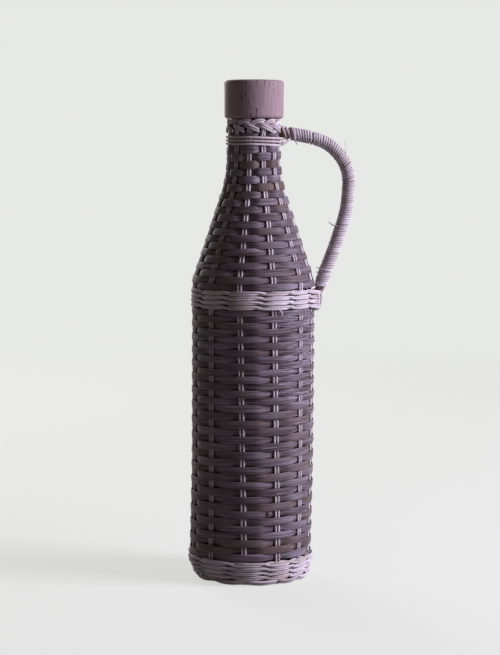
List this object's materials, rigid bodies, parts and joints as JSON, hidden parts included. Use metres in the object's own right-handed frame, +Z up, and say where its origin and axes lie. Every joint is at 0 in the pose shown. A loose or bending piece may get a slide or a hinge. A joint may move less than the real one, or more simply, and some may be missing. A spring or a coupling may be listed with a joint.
{
  "type": "bottle",
  "caption": "Glass bottle in a woven cane jacket with waled bands, a cane-wrapped side handle and a turned beech stopper that pulls out of the neck.",
  "frame": {"origin": "centre of the flat underside of the base board, which the bottle stands on", "axes": "+Z up along the bottle's axis towards the stopper, +X towards the handle, -Y towards the viewer"},
  "size_m": [0.1044, 0.08, 0.315],
  "materials": {
    "glass": "dark, smooth",
    "brown_cane": "flat cane strip, dyed brown, satin",
    "light_cane": "natural round cane, satin",
    "core_cane": "bent cane, bare",
    "beech": "turned beech, sanded",
    "cork": "natural cork, matte",
    "plywood": "birch plywood, matte"
  },
  "bodies": {
    "bottle": {"base_board": "plywood", "glass_bottle": "glass", "handle_core": "core_cane", "handle_wrap": "light_cane", "foot_lashing_front": "light_cane", "foot_lashing_back": "light_cane", "neck_tie": "light_cane", "foot_border": "light_cane", "base_band_1": "light_cane", "base_band_2": "light_cane", "base_band_3": "light_cane", "base_band_4": "light_cane", "middle_band_1": "light_cane", "middle_band_2": "light_cane", "middle_band_3": "light_cane", "middle_band_4": "light_cane", "body_weaver_1": "brown_cane", "body_weaver_2": "brown_cane", "body_weaver_3": "brown_cane", "body_weaver_4": "brown_cane", "shoulder_weaver_1": "brown_cane", "shoulder_weaver_2": "brown_cane", "stake_01a": "light_cane", "stake_01b": "light_cane", "stake_02a": "light_cane", "stake_02b": "light_cane", "stake_03a": "light_cane", "stake_03b": "light_cane", "stake_04a": "light_cane", "stake_04b": "light_cane", "stake_05a": "light_cane", "stake_05b": "light_cane", "stake_06a": "light_cane", "stake_06b": "light_cane", "stake_07a": "light_cane", "stake_07b": "light_cane", "stake_08a": "light_cane", "stake_08b": "light_cane", "stake_09a": "light_cane", "stake_09b": "light_cane", "stake_10a": "light_cane", "stake_10b": "light_cane", "stake_11a": "light_cane", "stake_11b": "light_cane"},
    "stopper": {"stopper_head": "beech", "stopper_cork": "cork"}
  },
  "joints": [
    {"name": "stopper_pull", "type": "slide", "parent": "bottle", "child": "stopper", "axis": [0, 0, 1], "range_m": [0, 0.05]}
  ]
}
